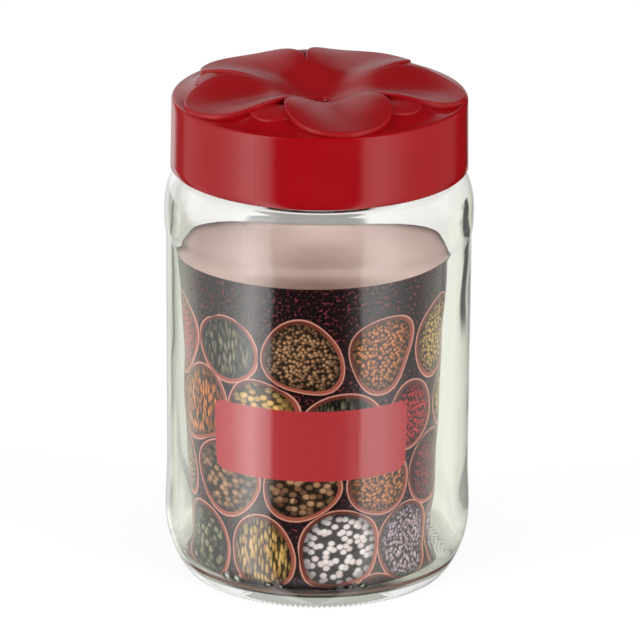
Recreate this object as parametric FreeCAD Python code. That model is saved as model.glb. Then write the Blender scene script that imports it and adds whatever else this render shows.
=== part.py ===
import FreeCAD, Part
import math
import os

from FreeCAD import Vector

# A glass spice jar with a flower-topped twist-off lid, a ring seal under the lid
# and a printed sheet rolled up inside the glass.
# Millimetres and degrees. The origin is the centre of the base, +Z is up, -Y is the front.

# Glass jar
JAR_RADIUS = 44.0
GLASS_HEIGHT = 136.8
PANEL_RECESS = 0.5
PANEL_WALL = 2.6
BAND_RAMP = 1.2
LOWER_BAND_HEIGHT = 2.8
UPPER_BAND_HEIGHT = 3.5
HEEL_HEIGHT = 17.0
HEEL_INSET = 5.7
BEARING_WIDTH = 4.0
PUSH_UP = 3.0
FLOOR_THICKNESS = 3.6
FLOOR_CORNER_WIDTH = 4.9
FLOOR_CORNER_HEIGHT = 7.4
SHOULDER_HEIGHT = 11.6
NECK_HEIGHT = 17.2
NECK_INSET = 5.4
NECK_WALL = 2.6
RIM_ROUND = 0.7

# Twist-off thread, shared by the glass ribs and the lid lugs
THREAD_STARTS = 4
THREAD_LEAD = 18.0
THREAD_DEPTH = 1.3
THREAD_PLAY = 0.25
THREAD_FLANK_SHARE = 0.385
RIB_ROOT_WIDTH = 2.2
RIB_SPAN = 70.0
RIB_DROP = 10.0
LUG_ROOT_WIDTH = 2.0
LUG_SPAN = 16.0
LUG_LEAD_IN = 10.0
ROOT_OVERLAP = 0.4

# Lid
SKIRT_WALL = 1.8
SKIRT_CLEARANCE = 0.5
SKIRT_DRAFT = 0.35
SKIRT_GAP = 0.4
PLATE_THICKNESS = 2.2
LID_EDGE_ROUND = 1.0
PLUG_CLEARANCE = 0.5
PLUG_WIDTH = 1.5
PLUG_DROP = 4.0
BOWL_RADIUS = 11.0
BOWL_DEPTH = 2.0
BOWL_WALL = 1.8

# Ring seal
SEAL_THICKNESS = 1.6
SEAL_PLAY = 0.05
SEAL_SIDE_CLEARANCE = 0.3

# Flower on the lid: heights are above the lid's flat top, shares are of the lid's top radius
PETAL_COUNT = 5
FRONT_PETAL_ANGLE = -79.0
PETAL_TIP_SHARE = 0.985
PETAL_RADIUS_SHARE = 0.355
PETAL_CREST_SHARE = 0.42
PETAL_LIFT_START_SHARE = 0.3
PETAL_CREST_HEIGHT = 2.3
PETAL_TIP_HEIGHT = 1.4
PETAL_SIDE_LIFT = 3.6
FUNNEL_SHARE = 0.46
FUNNEL_DEPTH = 2.1
EYE_RADIUS = 2.9
SEPAL_TIP_SHARE = 0.85
SEPAL_RADIUS_SHARE = 0.2
SEPAL_ROOT_HEIGHT = 3.4
SEPAL_TIP_HEIGHT = 2.2
SEPAL_SIDE_DROP = 0.5
LEAF_ROOT_COVER = 0.1
SURFACE_REACH_SHARE = 1.1
SURFACE_RINGS = 14
SURFACE_RAYS_PER_PETAL = 12
SURFACE_DEGREE = 3

# Printed sheet, rolled into a tube that opens a little towards its top and stands off the axis, towards -X
SHEET_THICKNESS = 0.25
SHEET_WRAP_GAP = 0.1
SHEET_OVERLAP = 16.0
SHEET_TOP_CLEARANCE = 2.5
SHEET_BOTTOM_CLEARANCE = 5.9
SHEET_SHIFT_SHARE = 0.68
SHEET_TOP_DROP = 12.0
SHEET_SEAT_CLEARANCE = 0.3
SHEET_SEAM_ANGLE = 122.0
SHEET_STEP_ANGLE = 8.0

# Worked out from the sizes above
FULL_TURN = 360.0
AXIS = Vector(0, 0, 1)
ORIGIN = Vector(0, 0, 0)
PANEL_RADIUS = JAR_RADIUS - PANEL_RECESS
INNER_RADIUS = PANEL_RADIUS - PANEL_WALL
BEARING_RADIUS = JAR_RADIUS - HEEL_INSET
BEARING_INNER_RADIUS = BEARING_RADIUS - BEARING_WIDTH
LOWER_BAND_TOP = HEEL_HEIGHT + LOWER_BAND_HEIGHT
SHOULDER_TOP = GLASS_HEIGHT - NECK_HEIGHT
SHOULDER_START = SHOULDER_TOP - SHOULDER_HEIGHT
INNER_SHOULDER_TOP = SHOULDER_TOP - NECK_WALL
UPPER_BAND_START = SHOULDER_START - UPPER_BAND_HEIGHT
NECK_RADIUS = JAR_RADIUS - NECK_INSET
MOUTH_RADIUS = NECK_RADIUS - NECK_WALL
FLOOR_CORNER_RADIUS = INNER_RADIUS - FLOOR_CORNER_WIDTH
FLOOR_CORNER_TOP = FLOOR_THICKNESS + FLOOR_CORNER_HEIGHT
SKIRT_INNER_RADIUS = NECK_RADIUS + THREAD_DEPTH + SKIRT_CLEARANCE
LID_BOTTOM_RADIUS = SKIRT_INNER_RADIUS + SKIRT_WALL
LID_TOP_RADIUS = LID_BOTTOM_RADIUS - SKIRT_DRAFT
SKIRT_BOTTOM = SHOULDER_TOP + SKIRT_GAP
SEAL_BOTTOM = GLASS_HEIGHT + SEAL_PLAY
PLATE_BOTTOM = SEAL_BOTTOM + SEAL_THICKNESS + SEAL_PLAY
LID_TOP = PLATE_BOTTOM + PLATE_THICKNESS
PLUG_RADIUS = MOUTH_RADIUS - PLUG_CLEARANCE
LEAF_BOTTOM = PLATE_BOTTOM + LEAF_ROOT_COVER
SHEET_TOP_RADIUS = INNER_RADIUS - SHEET_TOP_CLEARANCE
SHEET_BOTTOM_RADIUS = INNER_RADIUS - SHEET_BOTTOM_CLEARANCE
SHEET_TOP_HEIGHT = SHOULDER_START - SHEET_TOP_DROP
SHEET_SHIFT = SHEET_SHIFT_SHARE * SHEET_TOP_CLEARANCE
SHEET_TURN = FULL_TURN + SHEET_OVERLAP
SHEET_WRAP = (SHEET_THICKNESS + SHEET_WRAP_GAP) * SHEET_TURN / FULL_TURN


def at(radius, height):
    """A point of a half section, in the XZ plane."""
    return Vector(radius, 0, height)


def line(first, second):
    return Part.LineSegment(first, second).toShape()


def arc(first, middle, second):
    return Part.Arc(first, middle, second).toShape()


def ellipse_curve(centre, first, second):
    """The ellipse about centre through two axis ends, whichever of them is the longer."""
    if (first - centre).Length >= (second - centre).Length:
        return Part.Ellipse(first, second, centre)
    return Part.Ellipse(second, first, centre)


def quarter_ellipse(centre, first, second):
    """The quarter of that ellipse between the two axis ends."""
    return Part.ArcOfEllipse(ellipse_curve(centre, first, second), 0, math.pi / 2).toShape()


def chain(points):
    """Straight edges through the points, in order."""
    return [line(first, second) for first, second in zip(points, points[1:])]


def turned_solid(edges):
    """The solid that a closed half section sweeps around the jar's axis."""
    section = Part.Face(Part.Wire(Part.__sortEdges__(edges)))
    return section.revolve(ORIGIN, AXIS, FULL_TURN)


def turned_about_axis(shape, angle):
    copy = shape.copy()
    copy.rotate(ORIGIN, AXIS, angle)
    return copy


def sagging_arc(inner, outer):
    """An arc that leaves the axis level at inner and comes down or up to outer."""
    width = outer.x - inner.x
    drop = outer.z - inner.z
    bend = (width ** 2 + drop ** 2) / (2 * abs(drop))
    half = math.asin(width / bend) / 2
    rise = math.copysign(bend * (1 - math.cos(half)), drop)
    return arc(inner, at(bend * math.sin(half), inner.z + rise), outer)


def upright_arc(foot, top):
    """An arc from foot that ends upright at top."""
    width = top.x - foot.x
    height = top.z - foot.z
    bend = (width ** 2 + height ** 2) / (2 * width)
    half = math.asin(height / bend) / 2
    middle = at(top.x - bend * (1 - math.cos(half)), top.z - bend * math.sin(half))
    return arc(foot, middle, top)


def corner_round(centre, radius, start_angle):
    """A quarter circle in the half section, starting at start_angle degrees from +X."""
    points = []
    for step in range(3):
        angle = math.radians(start_angle + step * 45)
        points.append(centre + at(radius * math.cos(angle), radius * math.sin(angle)))
    return arc(*points)


def helical_bar(section_points, span, height, angle):
    """A bar of constant section that follows the thread's helix through span degrees."""
    rise = THREAD_LEAD * span / FULL_TURN
    path = Part.Wire(Part.makeHelix(THREAD_LEAD, rise, NECK_RADIUS).Edges)
    section = Part.makePolygon(section_points + section_points[:1])
    bar = path.makePipeShell([section], True, True)
    bar.translate(Vector(0, 0, height))
    return turned_about_axis(bar, angle)


def glass_rib(number):
    """One of the ribs on the neck that the lid's lugs hook under."""
    root = RIB_ROOT_WIDTH / 2
    crest = root - THREAD_FLANK_SHARE * THREAD_DEPTH
    section = [
        at(NECK_RADIUS - ROOT_OVERLAP, -root),
        at(NECK_RADIUS, -root),
        at(NECK_RADIUS + THREAD_DEPTH, -crest),
        at(NECK_RADIUS + THREAD_DEPTH, crest),
        at(NECK_RADIUS, root),
        at(NECK_RADIUS - ROOT_OVERLAP, root),
    ]
    angle = number * FULL_TURN / THREAD_STARTS
    return helical_bar(section, RIB_SPAN, GLASS_HEIGHT - RIB_DROP, angle)


def lid_lug(number):
    """One of the lugs inside the skirt, lying under its rib when the lid is closed."""
    root = LUG_ROOT_WIDTH / 2
    crest = root - THREAD_FLANK_SHARE * THREAD_DEPTH
    section = [
        at(SKIRT_INNER_RADIUS + ROOT_OVERLAP, -root),
        at(SKIRT_INNER_RADIUS, -root),
        at(SKIRT_INNER_RADIUS - THREAD_DEPTH, -crest),
        at(SKIRT_INNER_RADIUS - THREAD_DEPTH, crest),
        at(SKIRT_INNER_RADIUS, root),
        at(SKIRT_INNER_RADIUS + ROOT_OVERLAP, root),
    ]
    flank_room = THREAD_FLANK_SHARE * (SKIRT_INNER_RADIUS - NECK_RADIUS)
    below_rib = RIB_ROOT_WIDTH / 2 + root - flank_room + THREAD_PLAY
    rise = THREAD_LEAD * LUG_LEAD_IN / FULL_TURN
    angle = number * FULL_TURN / THREAD_STARTS + LUG_LEAD_IN
    return helical_bar(section, LUG_SPAN, GLASS_HEIGHT - RIB_DROP + rise - below_rib, angle)


def jar_glass():
    """The jar: domed base, wide heel, recessed panel, shoulder, and a neck with thread ribs."""
    outer = chain([
        at(JAR_RADIUS, HEEL_HEIGHT),
        at(JAR_RADIUS, LOWER_BAND_TOP),
        at(PANEL_RADIUS, LOWER_BAND_TOP + BAND_RAMP),
        at(PANEL_RADIUS, UPPER_BAND_START - BAND_RAMP),
        at(JAR_RADIUS, UPPER_BAND_START),
        at(JAR_RADIUS, SHOULDER_START),
    ])
    base_centre = at(0, PUSH_UP)
    base = [
        sagging_arc(base_centre, at(BEARING_INNER_RADIUS, 0)),
        line(at(BEARING_INNER_RADIUS, 0), at(BEARING_RADIUS, 0)),
        upright_arc(at(BEARING_RADIUS, 0), at(JAR_RADIUS, HEEL_HEIGHT)),
    ]
    shoulder = quarter_ellipse(
        at(NECK_RADIUS, SHOULDER_START),
        at(JAR_RADIUS, SHOULDER_START),
        at(NECK_RADIUS, SHOULDER_TOP),
    )
    round_height = GLASS_HEIGHT - RIM_ROUND
    rim = [
        line(at(NECK_RADIUS, SHOULDER_TOP), at(NECK_RADIUS, round_height)),
        corner_round(at(NECK_RADIUS - RIM_ROUND, round_height), RIM_ROUND, 0),
        line(at(NECK_RADIUS - RIM_ROUND, GLASS_HEIGHT), at(MOUTH_RADIUS + RIM_ROUND, GLASS_HEIGHT)),
        corner_round(at(MOUTH_RADIUS + RIM_ROUND, round_height), RIM_ROUND, 90),
        line(at(MOUTH_RADIUS, round_height), at(MOUTH_RADIUS, INNER_SHOULDER_TOP)),
    ]
    inner_shoulder = quarter_ellipse(
        at(MOUTH_RADIUS, SHOULDER_START),
        at(INNER_RADIUS, SHOULDER_START),
        at(MOUTH_RADIUS, INNER_SHOULDER_TOP),
    )
    floor_centre = at(0, PUSH_UP + FLOOR_THICKNESS)
    floor_edge = at(FLOOR_CORNER_RADIUS, FLOOR_THICKNESS)
    inside = [
        line(at(INNER_RADIUS, SHOULDER_START), at(INNER_RADIUS, FLOOR_CORNER_TOP)),
        quarter_ellipse(
            at(FLOOR_CORNER_RADIUS, FLOOR_CORNER_TOP),
            at(INNER_RADIUS, FLOOR_CORNER_TOP),
            floor_edge,
        ),
        sagging_arc(floor_centre, floor_edge),
        line(floor_centre, base_centre),
    ]
    glass = turned_solid(base + outer + [shoulder] + rim + [inner_shoulder] + inside)
    return glass.multiFuse([glass_rib(number) for number in range(THREAD_STARTS)])


def lid_seal():
    """The flat ring between the glass rim and the lid's plate."""
    inner = PLUG_RADIUS + SEAL_SIDE_CLEARANCE
    outer = SKIRT_INNER_RADIUS - SEAL_SIDE_CLEARANCE
    corners = [
        at(inner, SEAL_BOTTOM),
        at(outer, SEAL_BOTTOM),
        at(outer, SEAL_BOTTOM + SEAL_THICKNESS),
        at(inner, SEAL_BOTTOM + SEAL_THICKNESS),
    ]
    return turned_solid(chain(corners + corners[:1]))


def petal_height(radius, turn):
    """Height of a petal's top above the lid's flat top, turn radians from the petal's middle."""
    start = PETAL_LIFT_START_SHARE * LID_TOP_RADIUS
    crest = PETAL_CREST_SHARE * LID_TOP_RADIUS
    tip = PETAL_TIP_SHARE * LID_TOP_RADIUS
    if radius < crest:
        rise = (1 - math.cos(math.pi * radius / crest)) / 2
        middle = (PETAL_CREST_HEIGHT + FUNNEL_DEPTH) * rise - FUNNEL_DEPTH
    else:
        fall = 1 - math.cos(math.pi / 2 * (radius - crest) / (tip - crest))
        middle = PETAL_CREST_HEIGHT - (PETAL_CREST_HEIGHT - PETAL_TIP_HEIGHT) * fall
    lift = PETAL_SIDE_LIFT * math.sin(math.pi * max(0, radius - start) / (tip - start))
    return middle + lift * math.sin(turn * PETAL_COUNT / 2) ** 2


def sepal_height(radius, turn):
    """Height of a small lower petal's top, straight along it and crowned across it."""
    tip = SEPAL_TIP_SHARE * LID_TOP_RADIUS
    half_width = SEPAL_RADIUS_SHARE * LID_TOP_RADIUS
    along = (radius * math.cos(turn) - tip) / (2 * half_width) + 1
    across = radius * math.sin(turn) / half_width
    middle = SEPAL_ROOT_HEIGHT + (SEPAL_TIP_HEIGHT - SEPAL_ROOT_HEIGHT) * along
    return middle - SEPAL_SIDE_DROP * across ** 2


def leaf_prism(tip_share, radius_share):
    """An upright round prism along +X, from inside the plate to well above the flower."""
    centre = (tip_share - radius_share) * LID_TOP_RADIUS
    return Part.makeCylinder(radius_share * LID_TOP_RADIUS, LID_TOP_RADIUS, Vector(centre, 0, LEAF_BOTTOM))


def nearest_petal_turn(angle):
    """Degrees from the middle of the leaf that the angle lies nearest to."""
    pitch = FULL_TURN / PETAL_COUNT
    return (angle + pitch / 2) % pitch - pitch / 2


def relief_surface(height):
    """One smooth ring-shaped surface round the lid's axis, its poles at height(radius, turn) of the nearest leaf."""
    inner = EYE_RADIUS / 2
    outer = SURFACE_REACH_SHARE * LID_TOP_RADIUS
    rays = SURFACE_RAYS_PER_PETAL * PETAL_COUNT
    poles = []
    for ring in range(SURFACE_RINGS):
        radius = inner + (outer - inner) * ring / (SURFACE_RINGS - 1)
        row = []
        for ray in range(rays):
            angle = FULL_TURN * ray / rays
            turn = math.radians(nearest_petal_turn(angle))
            rise = height(radius, turn)
            place = math.radians(angle)
            row.append(Vector(radius * math.cos(place), radius * math.sin(place), LID_TOP + rise))
        poles.append(row)
    ring_knots = list(range(SURFACE_RINGS - SURFACE_DEGREE + 1))
    ring_mults = [1] * len(ring_knots)
    ring_mults[0] = SURFACE_DEGREE + 1
    ring_mults[-1] = SURFACE_DEGREE + 1
    ray_knots = list(range(rays + 1))
    ray_mults = [1] * len(ray_knots)
    surface = Part.BSplineSurface()
    surface.buildFromPolesMultsKnots(
        poles, ring_mults, ray_mults, ring_knots, ray_knots, False, True, SURFACE_DEGREE, SURFACE_DEGREE
    )
    return surface.toShape()


def under_surface(solid, height):
    """What of the solid lies under the leaves' surface."""
    return solid.cut(relief_surface(height).extrude(Vector(0, 0, 2 * LID_TOP_RADIUS)))


def flower():
    """Petals that run together into a funnel, with a smaller and lower one in each gap between them."""
    pitch = FULL_TURN / PETAL_COUNT
    turns = [number * pitch for number in range(PETAL_COUNT)]
    foot = Vector(0, 0, LEAF_BOTTOM)
    funnel = Part.makeCylinder(FUNNEL_SHARE * LID_TOP_RADIUS, LID_TOP_RADIUS, foot)
    eye = Part.makeCylinder(EYE_RADIUS, LID_TOP_RADIUS, foot)
    lobe = leaf_prism(PETAL_TIP_SHARE, PETAL_RADIUS_SHARE)
    lobes = [turned_about_axis(lobe, turn) for turn in turns]
    petals = under_surface(funnel.multiFuse(lobes).cut(eye), petal_height)
    sepal = under_surface(leaf_prism(SEPAL_TIP_SHARE, SEPAL_RADIUS_SHARE), sepal_height)
    sepals = [turned_about_axis(sepal, turn + pitch / 2) for turn in turns]
    return turned_about_axis(petals.multiFuse(sepals), FRONT_PETAL_ANGLE)


def lid_cap():
    """The lid moulding: drafted skirt with lugs, plate with a sunken middle, plug rib and flower."""
    edge_centre = at(LID_TOP_RADIUS - LID_EDGE_ROUND, LID_TOP - LID_EDGE_ROUND)
    outside = [
        sagging_arc(at(0, LID_TOP - BOWL_DEPTH), at(BOWL_RADIUS, LID_TOP)),
        line(at(BOWL_RADIUS, LID_TOP), at(edge_centre.x, LID_TOP)),
        corner_round(edge_centre, LID_EDGE_ROUND, 0),
    ]
    plug_bottom = PLATE_BOTTOM - PLUG_DROP
    plug_inner = PLUG_RADIUS - PLUG_WIDTH
    under_bowl = at(0, LID_TOP - BOWL_DEPTH - BOWL_WALL)
    under_bowl_edge = at(BOWL_RADIUS + BOWL_WALL, PLATE_BOTTOM)
    inside = chain([
        at(LID_TOP_RADIUS, edge_centre.z),
        at(LID_BOTTOM_RADIUS, SKIRT_BOTTOM),
        at(SKIRT_INNER_RADIUS, SKIRT_BOTTOM),
        at(SKIRT_INNER_RADIUS, PLATE_BOTTOM),
        at(PLUG_RADIUS, PLATE_BOTTOM),
        at(PLUG_RADIUS, plug_bottom),
        at(plug_inner, plug_bottom),
        at(plug_inner, PLATE_BOTTOM),
        under_bowl_edge,
    ])
    bowl_underside = [
        sagging_arc(under_bowl, under_bowl_edge),
        line(under_bowl, at(0, LID_TOP - BOWL_DEPTH)),
    ]
    shell = turned_solid(outside + inside + bowl_underside)
    lugs = [lid_lug(number) for number in range(THREAD_STARTS)]
    return shell.multiFuse([flower()] + lugs)


def seat_height(radius):
    """Height of the glass under the sheet at that radius, on the domed floor or in the floor's corner."""
    if radius < FLOOR_CORNER_RADIUS:
        bend = (FLOOR_CORNER_RADIUS ** 2 + PUSH_UP ** 2) / (2 * PUSH_UP)
        return FLOOR_THICKNESS + PUSH_UP - bend + math.sqrt(bend ** 2 - radius ** 2)
    share = (radius - FLOOR_CORNER_RADIUS) / FLOOR_CORNER_WIDTH
    return FLOOR_CORNER_TOP - FLOOR_CORNER_HEIGHT * math.sqrt(1 - share ** 2)


def sheet_outline(outer_radius, height):
    """The rolled sheet's cross-section: a spiral of a little over one turn, with its ends overlapping."""
    steps = round(SHEET_TURN / SHEET_STEP_ANGLE)
    faces = []
    for depth in (0, SHEET_THICKNESS):
        points = []
        for step in range(steps + 1):
            share = step / steps
            radius = outer_radius - SHEET_WRAP * (1 - share) - depth
            place = math.radians(SHEET_SEAM_ANGLE + SHEET_TURN * share)
            points.append(Vector(radius * math.cos(place) - SHEET_SHIFT, radius * math.sin(place), height))
        faces.append(points)
    edges = []
    for points in faces:
        curve = Part.BSplineCurve()
        curve.interpolate(points)
        edges.append(curve.toShape())
    edges.append(line(faces[0][0], faces[1][0]))
    edges.append(line(faces[0][-1], faces[1][-1]))
    return Part.Wire(Part.__sortEdges__(edges))


def print_sleeve():
    """The printed sheet, standing on the glass floor and opening towards its top."""
    farthest = SHEET_BOTTOM_RADIUS + SHEET_SHIFT
    nearest = SHEET_BOTTOM_RADIUS - SHEET_SHIFT - SHEET_WRAP - SHEET_THICKNESS
    bottom = max(seat_height(farthest), seat_height(nearest)) + SHEET_SEAT_CLEARANCE
    return Part.makeLoft(
        [sheet_outline(SHEET_BOTTOM_RADIUS, bottom), sheet_outline(SHEET_TOP_RADIUS, SHEET_TOP_HEIGHT)],
        True,
        True,
    )


def main():
    os.makedirs("parts", exist_ok=True)
    nodes = {
        "jar_glass": jar_glass,
        "lid_cap": lid_cap,
        "lid_seal": lid_seal,
        "print_sleeve": print_sleeve,
    }
    for name, make in nodes.items():
        shape = make()
        shape.exportStep(os.path.join("parts", name + ".step"))
        box = shape.BoundBox
        print(name, "solids", len(shape.Solids), "valid", shape.isValid(), "volume", round(shape.Volume, 1))
        print("  from", [round(v, 2) for v in (box.XMin, box.YMin, box.ZMin)],
              "to", [round(v, 2) for v in (box.XMax, box.YMax, box.ZMax)])


main()
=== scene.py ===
# %% [markdown]
# # A spice jar: clear glass, a red flower lid and a rolled print
# The CAD model holds the real sizes and the joints, so it comes in first and stays fixed. Every piece
# made below is placed in the same frame, in metres, with +Z up and the front of the print towards -Y.

import math

import bmesh
import bpy
from mathutils import Matrix, Vector


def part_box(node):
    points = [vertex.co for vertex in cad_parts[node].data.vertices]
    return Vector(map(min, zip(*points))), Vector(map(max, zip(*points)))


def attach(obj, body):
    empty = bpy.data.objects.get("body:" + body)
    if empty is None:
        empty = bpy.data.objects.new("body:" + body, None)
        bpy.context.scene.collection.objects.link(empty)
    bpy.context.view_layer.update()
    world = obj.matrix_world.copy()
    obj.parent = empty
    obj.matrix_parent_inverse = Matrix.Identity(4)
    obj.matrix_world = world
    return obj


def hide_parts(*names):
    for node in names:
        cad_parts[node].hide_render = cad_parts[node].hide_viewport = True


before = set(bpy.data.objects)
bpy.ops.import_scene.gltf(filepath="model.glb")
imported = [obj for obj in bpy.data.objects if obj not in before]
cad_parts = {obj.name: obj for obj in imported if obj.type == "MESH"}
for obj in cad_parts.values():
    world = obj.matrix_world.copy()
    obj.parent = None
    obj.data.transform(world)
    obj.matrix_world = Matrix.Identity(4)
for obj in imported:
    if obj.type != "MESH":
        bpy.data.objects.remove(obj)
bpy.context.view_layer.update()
glass_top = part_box("jar_glass")[1][2]
lid_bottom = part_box("lid_cap")[0][2]
seal_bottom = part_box("lid_seal")[0][2]
seal_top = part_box("lid_seal")[1][2]
sheet_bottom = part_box("print_sleeve")[0][2]
sheet_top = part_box("print_sleeve")[1][2]

# %% [markdown]
# ## Helpers for turned pieces
# Jars, seals and lid shells are round, so each is half a cross-section spun about the jar's axis. A
# cylinder primitive would give none of the rounds and walls. The half section is a short run of points,
# with arcs worked out from their centre, and the spin operator does the rest. What isn't round, such as
# thread ribs, is pressed into the spun mesh afterwards by moving its vertices.

# %% Half sections and spinning
WELD = 1e-6


def straight_run(first, last, steps):
    """Evenly spaced points of a half section from first to last, as (radius, height)."""
    start = Vector(first)
    return [tuple(start.lerp(Vector(last), step / steps)) for step in range(steps + 1)]


def elliptic_arc(centre, radii, start, end, steps):
    """Points on an arc of a half section, from start to end in degrees."""
    points = []
    for step in range(steps + 1):
        angle = math.radians(start + (end - start) * step / steps)
        points.append((centre[0] + radii[0] * math.cos(angle), centre[1] + radii[1] * math.sin(angle)))
    return points


def spun_body(section, columns):
    """A bmesh of the half section turned once about the jar's axis, closed and facing outwards."""
    bm = bmesh.new()
    corners = [bm.verts.new((radius, 0, height)) for radius, height in section]
    for first, second in zip(corners, corners[1:]):
        bm.edges.new((first, second))
    bmesh.ops.remove_doubles(bm, verts=bm.verts, dist=WELD)
    bmesh.ops.spin(
        bm, geom=bm.verts[:] + bm.edges[:], cent=(0, 0, 0), axis=(0, 0, 1),
        angle=math.tau, steps=columns, use_merge=True,
    )
    bmesh.ops.remove_doubles(bm, verts=bm.verts, dist=WELD)
    bmesh.ops.recalc_face_normals(bm, faces=bm.faces)
    return bm


def set_radius(vert, radius):
    """Moves a vertex straight out from or in to the axis."""
    angle = math.atan2(vert.co.y, vert.co.x)
    vert.co.x = radius * math.cos(angle)
    vert.co.y = radius * math.sin(angle)


def smooth_step(low, high, value):
    """0 below low, 1 above high and an even S-curve between; low may be the larger."""
    share = min(1.0, max(0.0, (value - low) / (high - low)))
    return share * share * (3 - 2 * share)


# %% From a bmesh to a piece that rides on a body
def make_piece(name, bm, materials, body, node):
    """Stores the bmesh as an object at the origin that stands for a CAD node."""
    mesh = bpy.data.meshes.new(name)
    bm.to_mesh(mesh)
    bm.free()
    mesh.shade_smooth()
    for material in materials:
        mesh.materials.append(material)
    piece = bpy.data.objects.new(name, mesh)
    bpy.context.scene.collection.objects.link(piece)
    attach(piece, body)
    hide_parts(node)
    print(name, "vertices", len(mesh.vertices), "faces", len(mesh.polygons))


# %% [markdown]
# ## Helpers for node materials
# All finishes are node trees, because nothing may be read from a picture. Short helpers keep the trees
# readable: they add a node and plug its inputs, do sums, make soft ramps and mix colours.

# %% Node helpers
def plug(tree, socket, value):
    """Links a socket to another node's output, or sets it to a plain value."""
    if isinstance(value, bpy.types.NodeSocket):
        tree.links.new(value, socket)
    else:
        socket.default_value = value


def add_node(tree, kind, values=None, **settings):
    """Adds a node, sets its properties, and plugs its inputs by name or number."""
    node = tree.nodes.new(kind)
    for key, setting in settings.items():
        setattr(node, key, setting)
    for key, value in (values or {}).items():
        plug(tree, node.inputs[key], value)
    return node


def calc(tree, operation, first, second=0.0, third=0.0):
    """One math node's result."""
    return add_node(tree, "ShaderNodeMath", {0: first, 1: second, 2: third}, operation=operation).outputs[0]


def vector_calc(tree, operation, first, second=(0, 0, 0), output="Vector"):
    """One vector math node's result."""
    values = {0: first, 1: second}
    return add_node(tree, "ShaderNodeVectorMath", values, operation=operation).outputs[output]


def ramp_between(tree, value, low, high, start=0.0, end=1.0):
    """A smooth ramp of the value from low to high, clamped, going from start to end."""
    values = {"Value": value, "From Min": low, "From Max": high, "To Min": start, "To Max": end}
    return add_node(tree, "ShaderNodeMapRange", values, interpolation_type="SMOOTHSTEP").outputs[0]


def blend(tree, share, first, second, mode="MIX"):
    """A mix of two colours."""
    values = {0: share, 6: first, 7: second}
    node = add_node(tree, "ShaderNodeMix", values, data_type="RGBA", blend_type=mode)
    return node.outputs[2]


def new_material(name):
    """A material with its tree and its main shader."""
    material = bpy.data.materials.new(name)
    material.use_nodes = True
    tree = material.node_tree
    return material, tree, tree.nodes["Principled BSDF"]


# %% [markdown]
# ## The glass: section
# A pressed jar has a domed base on a flat bearing ring, a wide heel, a shallow recessed panel between two
# bands, a shoulder and a neck. The outside runs from the base's centre up to the rim and the inside comes
# back down to the floor's centre, so the spun wall has its real thickness. Glass needs that: light must
# bend on the way in and on the way out, which a single skin can't do.

# %% Glass sizes and half section
JAR_RADIUS = 0.044
PANEL_RADIUS = 0.0435
INNER_RADIUS = 0.0409
NECK_RADIUS = 0.0386
MOUTH_RADIUS = 0.036
RIM_ROUND = 0.0007
BEARING_RADIUS = 0.0383
BEARING_INNER_RADIUS = 0.0343
BASE_RISE = 0.003
FLOOR_THICKNESS = 0.0036
HEEL_HEIGHT = 0.017
LOWER_BAND_TOP = 0.0172
UPPER_BAND_BOTTOM = 0.1045
LOWER_RAMP = 0.015
UPPER_RAMP = 0.005
SHOULDER_START = 0.108
SHOULDER_TOP = 0.1196
INNER_SHOULDER_TOP = 0.117
FLOOR_CORNER_RADIUS = 0.036
FLOOR_CORNER_HEIGHT = 0.0074
GLASS_COLUMNS = 480


def dome_run(rise, base, edge_radius, steps):
    """A shallow dome from the axis out to edge_radius, rise above base at the middle."""
    radii = [edge_radius * step / steps for step in range(steps + 1)]
    return [(radius, base + rise * (1 - (radius / edge_radius) ** 2)) for radius in radii]


def band_edge(first, last, steps=7):
    """A soft step in radius between a band and the panel."""
    points = []
    for step in range(steps + 1):
        share = step / steps
        radius = first[0] + (last[0] - first[0]) * smooth_step(0, 1, share)
        points.append((radius, first[1] + (last[1] - first[1]) * share))
    return points


# %% Spin the glass
heel_inset = JAR_RADIUS - BEARING_RADIUS
heel_bend = (heel_inset ** 2 + HEEL_HEIGHT ** 2) / (2 * heel_inset)
heel_centre = (JAR_RADIUS - heel_bend, HEEL_HEIGHT)
heel_angle = math.degrees(math.asin(HEEL_HEIGHT / heel_bend))
panel_bottom = LOWER_BAND_TOP + LOWER_RAMP
panel_top = UPPER_BAND_BOTTOM - UPPER_RAMP
shoulder_radii = (JAR_RADIUS - NECK_RADIUS, SHOULDER_TOP - SHOULDER_START)
inner_shoulder_radii = (INNER_RADIUS - MOUTH_RADIUS, INNER_SHOULDER_TOP - SHOULDER_START)
rim_radii = (RIM_ROUND, RIM_ROUND)
round_centre_height = glass_top - RIM_ROUND
floor_corner_top = FLOOR_THICKNESS + FLOOR_CORNER_HEIGHT
floor_corner_radii = (INNER_RADIUS - FLOOR_CORNER_RADIUS, FLOOR_CORNER_HEIGHT)

outside = dome_run(BASE_RISE, 0, BEARING_INNER_RADIUS, 5)
outside += straight_run((BEARING_INNER_RADIUS, 0), (BEARING_RADIUS, 0), 3)
outside += elliptic_arc(heel_centre, (heel_bend, heel_bend), -heel_angle, 0, 34)
outside += band_edge((JAR_RADIUS, LOWER_BAND_TOP), (PANEL_RADIUS, panel_bottom))
outside += straight_run((PANEL_RADIUS, panel_bottom), (PANEL_RADIUS, panel_top), 10)
outside += band_edge((PANEL_RADIUS, panel_top), (JAR_RADIUS, UPPER_BAND_BOTTOM))
outside += elliptic_arc((NECK_RADIUS, SHOULDER_START), shoulder_radii, 0, 90, 14)
outside += straight_run((NECK_RADIUS, SHOULDER_TOP), (NECK_RADIUS, round_centre_height), 36)
outside += elliptic_arc((NECK_RADIUS - RIM_ROUND, round_centre_height), rim_radii, 0, 90, 3)
inside = elliptic_arc((MOUTH_RADIUS + RIM_ROUND, round_centre_height), rim_radii, 90, 180, 3)
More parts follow.
